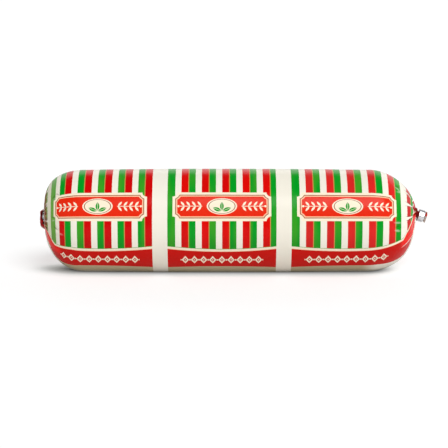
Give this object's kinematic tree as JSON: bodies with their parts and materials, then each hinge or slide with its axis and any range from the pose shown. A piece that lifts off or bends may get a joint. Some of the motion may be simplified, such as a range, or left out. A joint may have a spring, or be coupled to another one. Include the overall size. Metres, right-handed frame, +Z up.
{
  "type": "mozzarella log in printed film",
  "caption": "Sagging cylinder of mozzarella in tight striped plastic film, gathered into pleats at both ends and shut by aluminium clips; lies on a flat base.",
  "frame": {"origin": "on the resting surface, at the middle of the box round the whole log, clips and tails", "axes": "+X along the log to the end whose clip stands out further, -Y towards the front that shows in the picture, +Z up"},
  "size_m": [0.3527, 0.0964, 0.0921],
  "materials": {
    "printed_film": "opaque plastic film with a soft gloss, printed in red, white and green stripes with red plaques",
    "clip_metal": "plain drawn aluminium, lightly rubbed by the clipping tool"
  },
  "bodies": {
    "root": {"film_log": "printed_film", "clip_left": "clip_metal", "clip_right": "clip_metal"}
  },
  "joints": []
}
